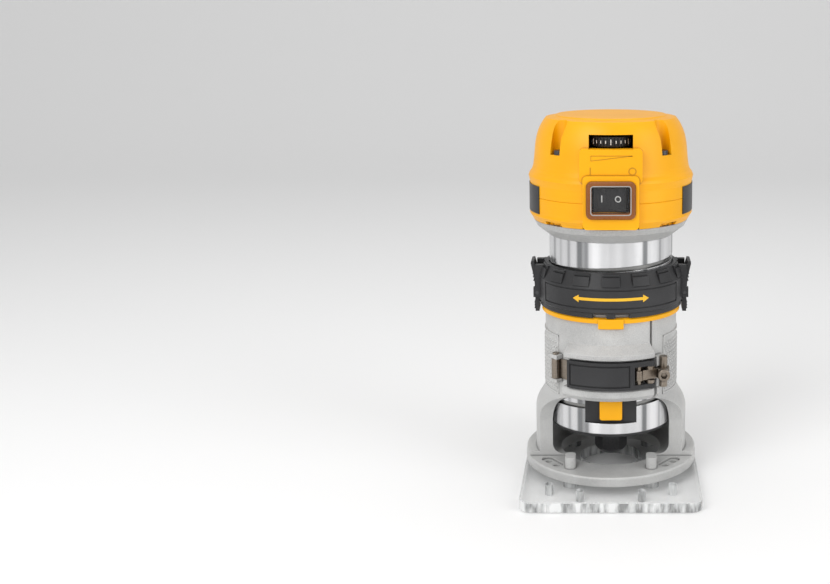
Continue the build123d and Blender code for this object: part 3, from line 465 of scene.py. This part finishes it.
def finish_piece(mesh_builder, name, body, finish, smooth=True):
    """Turns a bmesh into a piece that rides on a body."""
    bmesh.ops.recalc_face_normals(mesh_builder, faces=mesh_builder.faces)
    mesh = bpy.data.meshes.new(name)
    mesh_builder.to_mesh(mesh)
    mesh_builder.free()
    if smooth:
        mesh.shade_smooth()
        mesh.set_sharp_from_angle(angle=radians(35))
    piece = bpy.data.objects.new(name, mesh)
    bpy.context.scene.collection.objects.link(piece)
    mesh.materials.append(finishes[finish])
    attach(piece, body)


def prism(builder, outline, depth):
    """Closed prism between an outline's points and the same points moved by depth(point)."""
    front = [builder.verts.new(p) for p in outline]
    back = [builder.verts.new(p + depth(p)) for p in outline]
    builder.faces.new(front)
    builder.faces.new(list(reversed(back)))
    for i in range(len(outline)):
        j = (i + 1) % len(outline)
        builder.faces.new((front[j], front[i], back[i], back[j]))


def dome(builder, centre, outward, radius, height, sides=10):
    """Low rounded bump standing on a surface."""
    side = outward.cross(Vector((0, 0, 1))).normalized()
    up = side.cross(outward)
    rings = []
    for level in (0.0, 0.55, 0.88):
        r = radius * sqrt(1 - level * level)
        rings.append(
            [
                builder.verts.new(centre + outward * (height * level) + (side * cos(t) + up * sin(t)) * r)
                for t in (2 * pi * k / sides for k in range(sides))
            ]
        )
    top = builder.verts.new(centre + outward * height)
    for low, high in zip(rings, rings[1:]):
        for k in range(sides):
            n = (k + 1) % sides
            builder.faces.new((low[k], low[n], high[n], high[k]))
    for k in range(sides):
        builder.faces.new((rings[-1][k], rings[-1][(k + 1) % sides], top))
    builder.faces.new(list(reversed(rings[0])))


# ---- grip fields: rows of low bumps on both sides of the casting, each field inside a raised border
CASTING_R = 37.0 * MM
GRIP_LOW, GRIP_HIGH = 52.0 * MM, 82.0 * MM
GRIP_START, GRIP_END = 54, 126  # degrees from the front
BUMP_PITCH = 2.7 * MM
ROW_PITCH = BUMP_PITCH * 0.87
BUMP_R, BUMP_HEIGHT, BUMP_SIDES = 1.0 * MM, 0.85 * MM, 8
BUMP_SUNK = 0.1 * MM  # how far a bump reaches into the casting
BORDER_START, BORDER_END = GRIP_START - 3.5, GRIP_END + 1.5  # where the border's upright parts begin
BORDER_LOW, BORDER_HIGH = GRIP_LOW - 1.8 * MM, GRIP_HIGH + 0.8 * MM  # and its level parts
BORDER_WIDTH, BORDER_TURN = 0.9 * MM, 1.4  # of a level part, and of an upright one in degrees
BORDER_PROUD, BORDER_DEPTH = 0.5 * MM, 0.7 * MM
BORDER_PIECES = 18


def border_piece(builder, start, end, low, high):
    """Short raised line on the casting's barrel."""
    corners = ((start, low), (end, low), (end, high), (start, high))
    prism(builder, [polar(CASTING_R + BORDER_PROUD, a, z) for a, z in corners], inwards(BORDER_DEPTH))


def grip_bumps(name, side):
    """Grip field on one side of the casting."""
    builder = bmesh.new()
    step = BUMP_PITCH / CASTING_R * 180 / pi
    for row in range(int((GRIP_HIGH - GRIP_LOW) / ROW_PITCH)):
        height = GRIP_LOW + (row + 0.5) * ROW_PITCH
        stagger = step / 2 if row % 2 else 0
        for k in range(int((GRIP_END - GRIP_START) / step)):
            spot = polar(CASTING_R - BUMP_SUNK, side * (GRIP_START + stagger + k * step), height)
            dome(builder, spot, Vector((spot.x, spot.y, 0)).normalized(), BUMP_R, BUMP_HEIGHT, BUMP_SIDES)
    span = (BORDER_END - BORDER_START) / BORDER_PIECES
    for k in range(BORDER_PIECES):
        start, end = BORDER_START + k * span, BORDER_START + (k + 1) * span
        for low in (BORDER_LOW, BORDER_HIGH):
            border_piece(builder, side * start, side * end, low, low + BORDER_WIDTH)
    for start in (BORDER_START, BORDER_END):
        end = start + BORDER_TURN
        border_piece(builder, side * start, side * end, BORDER_LOW, BORDER_HIGH + BORDER_WIDTH)
    finish_piece(builder, name, "base", "casting")


grip_bumps("left_grip_bumps", -1)
grip_bumps("right_grip_bumps", 1)

# ---- double-headed arrow round the front of the depth ring
RING_FACE_R = 40.87 * MM
ARROW_Z, ARROW_THICK = 107.8 * MM, 1.6 * MM
ARROW_HALF, ARROW_HEAD = 30, 5  # degrees from its middle to a tip, and length of a head
ARROW_PIECES = 12
ARROW_DEPTH = 0.12 * MM


def ring_direction_arrow():
    """Printed arrow that shows both ways the ring turns."""
    shaft = ARROW_HALF - ARROW_HEAD
    low, high = ARROW_Z - ARROW_THICK / 2, ARROW_Z + ARROW_THICK / 2
    strips = []
    for k in range(ARROW_PIECES):
        start, end = -shaft + 2 * shaft * k / ARROW_PIECES, -shaft + 2 * shaft * (k + 1) / ARROW_PIECES
        strips.append([(start, low), (end, low), (end, high), (start, high)])
    for side in (-1, 1):
        head = side * shaft
        spread = ARROW_THICK * 1.3
        strips.append([(side * ARROW_HALF, ARROW_Z), (head, ARROW_Z + spread), (head, ARROW_Z - spread)])
    builder = bmesh.new()
    for strip in strips:
        prism(builder, [polar(RING_FACE_R, angle, height) for angle, height in strip], inwards(ARROW_DEPTH))
    finish_piece(builder, "ring_direction_arrow", "depth_ring", "mark_yellow", smooth=False)


ring_direction_arrow()

# ---- marks on faces that look forwards: I, O and the speed wedge by the dial, and the line round the switch
PRINT_DEPTH = 0.15 * MM
CIRCLE_PIECES = 20


def flat_mark(name, finish, y, outlines):
    """Printed mark on the motor; outlines are lists of (x, z) in metres."""
    builder = bmesh.new()
    for outline in outlines:
        prism(builder, [Vector((x, y, z)) for x, z in outline], lambda p: Vector((0, PRINT_DEPTH, 0)))
    finish_piece(builder, name, "motor", finish, smooth=False)


def open_circle(x, z, outer, inner):
    """Circle drawn as short segments."""
    outlines = []
    for k in range(CIRCLE_PIECES):
        a, b = 2 * pi * k / CIRCLE_PIECES, 2 * pi * (k + 1) / CIRCLE_PIECES
        corners = ((outer, a), (outer, b), (inner, b), (inner, a))
        outlines.append([(x + radius * cos(t), z + radius * sin(t)) for radius, t in corners])
    return outlines


def line(start, end, width):
    """Straight stroke between two (x, z) points."""
    start, end = Vector(start), Vector(end)
    along = (end - start).normalized()
    across = Vector((-along.y, along.x)) * width / 2
    return [tuple(corner) for corner in (start - across, end - across, end + across, start + across)]


def rounded_strip(low, high, radius, width, steps=6):
    """Closed strip of a width that follows a rounded rectangle, cut into short quadrilaterals."""
    centres = [
        (high[0] - radius, high[1] - radius, 0),
        (low[0] + radius, high[1] - radius, 90),
        (low[0] + radius, low[1] + radius, 180),
        (high[0] - radius, low[1] + radius, 270),
    ]
    path = []
    for x, z, start in centres:
        for k in range(steps + 1):
            t = radians(start + 90 * k / steps)
            path.append([(x + r * cos(t), z + r * sin(t)) for r in (radius, radius - width)])
    return [[a[0], b[0], b[1], a[1]] for a, b in zip(path, path[1:] + path[:1])]


BOSS_MARK_Y = -44.7 * MM
on_stroke = line((-10.7 * MM, 175.2 * MM), (-10.7 * MM, 179.4 * MM), 0.7 * MM)
off_strokes = open_circle(11.2 * MM, 177.3 * MM, 2.2 * MM, 1.5 * MM)
wedge = [(-10.4 * MM, 185.4 * MM), (-10.4 * MM, 182.8 * MM), (11.2 * MM, 185.4 * MM)]
wedge_strokes = [line(a, b, 0.4 * MM) for a, b in zip(wedge, wedge[1:] + wedge[:1])]
flat_mark("on_mark", "mark_amber", BOSS_MARK_Y, [on_stroke])
flat_mark("off_mark", "mark_amber", BOSS_MARK_Y, off_strokes)
flat_mark("speed_wedge_mark", "mark_amber", BOSS_MARK_Y, wedge_strokes)

FRAME_PROUD = 0.08 * MM
LINE_INSET, LINE_R, LINE_WIDTH = 2.2 * MM, 1.6 * MM, 0.5 * MM
frame_low, frame_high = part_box("switch_frame")
line_low = (frame_low[0] + LINE_INSET, frame_low[2] + LINE_INSET)
line_high = (frame_high[0] - LINE_INSET, frame_high[2] - LINE_INSET)
frame_line = rounded_strip(line_low, line_high, LINE_R, LINE_WIDTH)
flat_mark("switch_frame_line", "mark_grey", frame_low[1] - FRAME_PROUD, frame_line)

# ---- I and O on the rocker, following its hollow face and its lean at rest
ROCKER_Y = -40.5 * MM
ROCKER_HALF = 8.4 * MM
ROCKER_FACE = 3.2 * MM  # from the pivot to the middle of the face
ROCKER_RISE = 1.7 * MM  # how much further out the ends of the face are
ROCKER_MARK_X = 4.3 * MM
ROCKER_PROUD, ROCKER_DEPTH = 0.12 * MM, 0.3 * MM
LEAN = radians(-8)


def on_rocker(across, z):
    """Point just proud of the rocker's face."""
    out = -ROCKER_FACE - ROCKER_RISE * (across / ROCKER_HALF) ** 2 - ROCKER_PROUD
    return Vector((across * cos(LEAN) - out * sin(LEAN), ROCKER_Y + across * sin(LEAN) + out * cos(LEAN), z))


def rocker_marks():
    low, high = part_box("switch_rocker")
    middle = (low[2] + high[2]) / 2
    outlines = [line((-ROCKER_MARK_X, -1.8 * MM), (-ROCKER_MARK_X, 1.8 * MM), 0.6 * MM)]
    outlines += open_circle(ROCKER_MARK_X, 0, 1.7 * MM, 1.15 * MM)
    builder = bmesh.new()
    for outline in outlines:
        prism(builder, [on_rocker(x, middle + z) for x, z in outline], lambda p: Vector((0, ROCKER_DEPTH, 0)))
    finish_piece(builder, "rocker_marks", "rocker", "mark_white", smooth=False)


rocker_marks()

# ---- the speed dial's scale: ticks round its rim, every fourth one tall
DIAL_TICKS = 24
TICK_HALF_WIDE, TICK_HALF_TALL, TICK_HALF_SHORT = 0.22 * MM, 1.5 * MM, 0.8 * MM
TICK_PROUD, TICK_DEPTH = 0.04 * MM, 0.3 * MM


def dial_scale():
    low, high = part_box("speed_dial")
    centre = Vector((0, (low[1] + high[1]) / 2, (low[2] + high[2]) / 2))
    radius = (high[1] - low[1]) / 2
    builder = bmesh.new()
    for k in range(DIAL_TICKS):
        turn = radians(360 / DIAL_TICKS * k)
        outward = Vector((sin(turn), -cos(turn), 0))
        side = Vector((cos(turn), sin(turn), 0)) * TICK_HALF_WIDE
        up = Vector((0, 0, TICK_HALF_SHORT if k % 4 else TICK_HALF_TALL))
        middle = centre + outward * (radius + TICK_PROUD)
        tick = [middle - side - up, middle + side - up, middle + side + up, middle - side + up]
        prism(builder, tick, lambda p, inward=-outward: inward * TICK_DEPTH)
    finish_piece(builder, "dial_scale", "dial", "mark_white", smooth=False)


dial_scale()


# ---------------------------------------------------------------- stage, light and camera
FLOOR_HALF = 4  # metres to each side
FLOOR_FRONT, CURVE_START = -3.0, 1.2  # along Y
CURVE_R, WALL_TOP = 0.8, 3.0
FLOOR_GAP = 0.0002  # the floor lies just under the object's work face
STUDIO_WHITE = (0.9, 0.9, 0.9, 1)


def floor():
    """Plain pale floor that curves up into a plain backdrop."""
    builder = bmesh.new()
    profile = [(FLOOR_FRONT, 0.0), (CURVE_START, 0.0)]
    for a in range(10, 91, 10):
        profile.append((CURVE_START + CURVE_R * sin(radians(a)), CURVE_R - CURVE_R * cos(radians(a))))
    profile.append((CURVE_START + CURVE_R, WALL_TOP))
    rows = [[builder.verts.new((x, y, z - FLOOR_GAP)) for x in (-FLOOR_HALF, FLOOR_HALF)] for y, z in profile]
    for near, far in zip(rows, rows[1:]):
        builder.faces.new((near[0], near[1], far[1], far[0]))
    mesh = bpy.data.meshes.new("studio_floor")
    builder.to_mesh(mesh)
    builder.free()
    mesh.shade_smooth()
    material = bpy.data.materials.new("studio_white")
    material.use_nodes = True
    shader = material.node_tree.nodes["Principled BSDF"]
    shader.inputs["Base Color"].default_value = STUDIO_WHITE
    shader.inputs["Roughness"].default_value = 0.7
    mesh.materials.append(material)
    sheet_object = bpy.data.objects.new("studio_floor", mesh)
    bpy.context.scene.collection.objects.link(sheet_object)


LIT_POINT = (0, 0, 0.1)  # the lights look at this point of the object


def soft_box(name, place, width, height, power):
    """Rectangular light that looks at the object."""
    light = bpy.data.lights.new(name, "AREA")
    light.shape = "RECTANGLE"
    light.size, light.size_y = width, height
    light.energy = power
    lamp = bpy.data.objects.new(name, light)
    lamp.location = place
    lamp.rotation_euler = (Vector(LIT_POINT) - Vector(place)).to_track_quat("-Z", "Y").to_euler()
    bpy.context.scene.collection.objects.link(lamp)


floor()
soft_box("key_light", (-0.55, -0.75, 0.75), 0.6, 0.9, 6.5)
soft_box("fill_light", (0.8, -0.5, 0.45), 0.5, 0.9, 3.2)
soft_box("top_light", (0.0, 0.1, 1.1), 1.0, 0.8, 2.2)

world = bpy.data.worlds.new("studio_world")
world.use_nodes = True
world.node_tree.nodes["Background"].inputs["Color"].default_value = (1, 1, 1, 1)
world.node_tree.nodes["Background"].inputs["Strength"].default_value = 0.6
bpy.context.scene.world = world
bpy.context.scene.view_settings.view_transform = "Standard"

# The camera stands straight in front and looks down by nine and a half degrees. Its lens is shifted, so that
# the object stands at the right of the frame with its uprights nearly parallel.
camera_data = bpy.data.cameras.new("camera")
camera_data.sensor_width = 36.0
camera_data.lens = 51.75
camera_data.shift_x = -0.236
camera_data.shift_y = -0.1
camera = bpy.data.objects.new("camera", camera_data)
camera.location = (0.0, -0.6585, 0.261)
camera.rotation_euler = (pi / 2 - radians(9.56), 0, 0)
bpy.context.scene.collection.objects.link(camera)
bpy.context.scene.camera = camera
